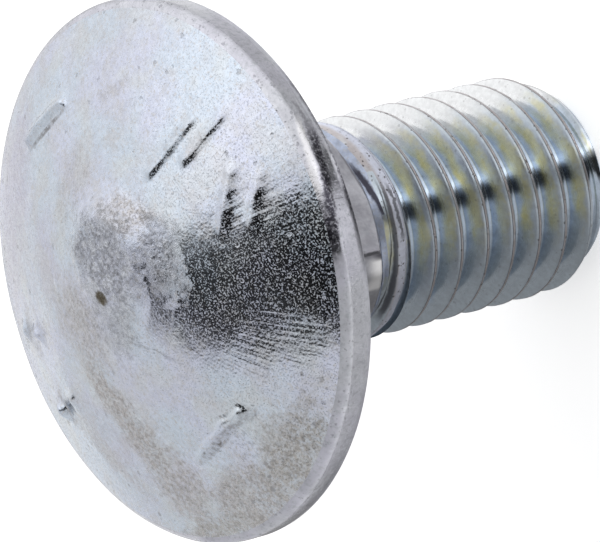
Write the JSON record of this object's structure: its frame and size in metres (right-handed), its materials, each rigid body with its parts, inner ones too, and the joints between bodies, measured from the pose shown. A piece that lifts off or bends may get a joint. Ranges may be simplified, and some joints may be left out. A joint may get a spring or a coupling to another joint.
{
  "type": "carriage bolt",
  "caption": "Short zinc-plated carriage bolt: low mushroom head with a thin rim, square neck, full-length right-hand thread and chamfered end.",
  "frame": {"origin": "centre of the head's flat bearing face, on the shank's axis, where the square neck starts", "axes": "+Z along the bolt's axis and out through the dome, so the shank hangs down to -Z; +X and +Y square to two neighbouring flats of the neck"},
  "size_m": [0.0242, 0.0242, 0.0252],
  "materials": {
    "zinc_plated_steel": "bright zinc plate with a thin blue and straw passivation film, matt and finely pitted on the forged head"
  },
  "bodies": {
    "root": {"carriage_bolt": "zinc_plated_steel"}
  },
  "joints": []
}
